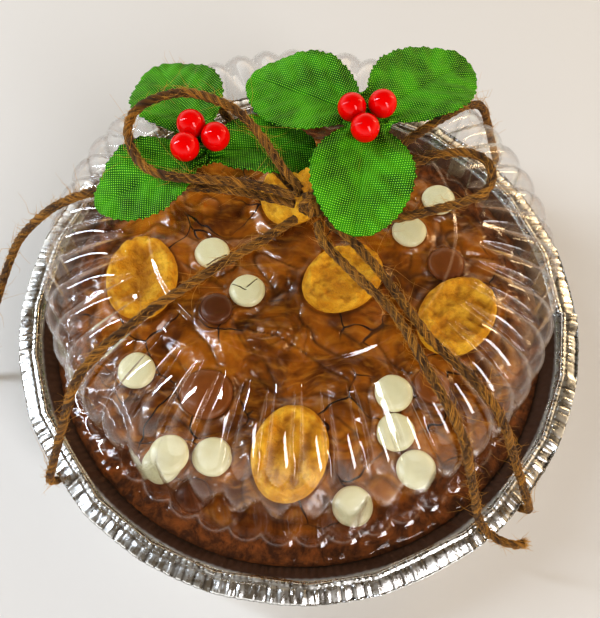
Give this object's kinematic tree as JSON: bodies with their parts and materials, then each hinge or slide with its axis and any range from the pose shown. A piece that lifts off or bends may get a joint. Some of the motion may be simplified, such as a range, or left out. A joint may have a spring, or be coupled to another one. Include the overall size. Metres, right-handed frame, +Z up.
{
  "type": "brownie in a lidded foil pan",
  "caption": "Round chocolate brownie topped with chocolate discs and tan ovals, in a crimped foil pan under a fluted clear lid, tied with a twine bow and fabric holly.",
  "frame": {"origin": "middle of the pan's foot, on the table", "axes": "+Z up through the lid; -Y towards the front, from which the bow and the holly show with the holly at the back; +X to the right"},
  "size_m": [0.2679, 0.2292, 0.1267],
  "materials": {
    "foil": "bright crinkled foil",
    "brownie": "glossy milk-chocolate coating over dark cake",
    "clear_plastic": "clear moulded plastic sheet",
    "tan_confection": "matt, lightly pitted",
    "brown_chocolate": "satin",
    "white_chocolate": "satin",
    "leaf_fabric": "coated woven cloth",
    "berry": "gloss",
    "twine": "rough jute"
  },
  "bodies": {
    "root": {"foil_pan": "foil", "brownie": "brownie", "clear_lid": "clear_plastic", "tan_oval_1": "tan_confection", "tan_oval_2": "tan_confection", "tan_oval_3": "tan_confection", "tan_oval_4": "tan_confection", "tan_oval_5": "tan_confection", "brown_disc_1": "brown_chocolate", "brown_disc_2": "brown_chocolate", "brown_disc_3": "brown_chocolate", "brown_disc_4": "brown_chocolate", "brown_disc_5": "brown_chocolate", "white_disc_1": "white_chocolate", "white_disc_2": "white_chocolate", "white_disc_3": "white_chocolate", "white_disc_4": "white_chocolate", "white_disc_5": "white_chocolate", "white_disc_6": "white_chocolate", "white_disc_7": "white_chocolate", "white_disc_8": "white_chocolate", "white_disc_9": "white_chocolate", "white_disc_10": "white_chocolate", "white_disc_11": "white_chocolate", "white_disc_12": "white_chocolate", "leaf_left_back": "leaf_fabric", "leaf_left_front": "leaf_fabric", "leaf_left_inner": "leaf_fabric", "leaf_right_back": "leaf_fabric", "leaf_right_side": "leaf_fabric", "leaf_right_front": "leaf_fabric", "berry_1": "berry", "berry_2": "berry", "berry_3": "berry", "berry_4": "berry", "berry_5": "berry", "berry_6": "berry", "twine_knot": "twine", "twine_loop_left": "twine", "twine_loop_right": "twine", "twine_tail_left": "twine", "twine_tail_right": "twine", "twine_wrap_1": "twine", "twine_wrap_2": "twine"}
  },
  "joints": []
}
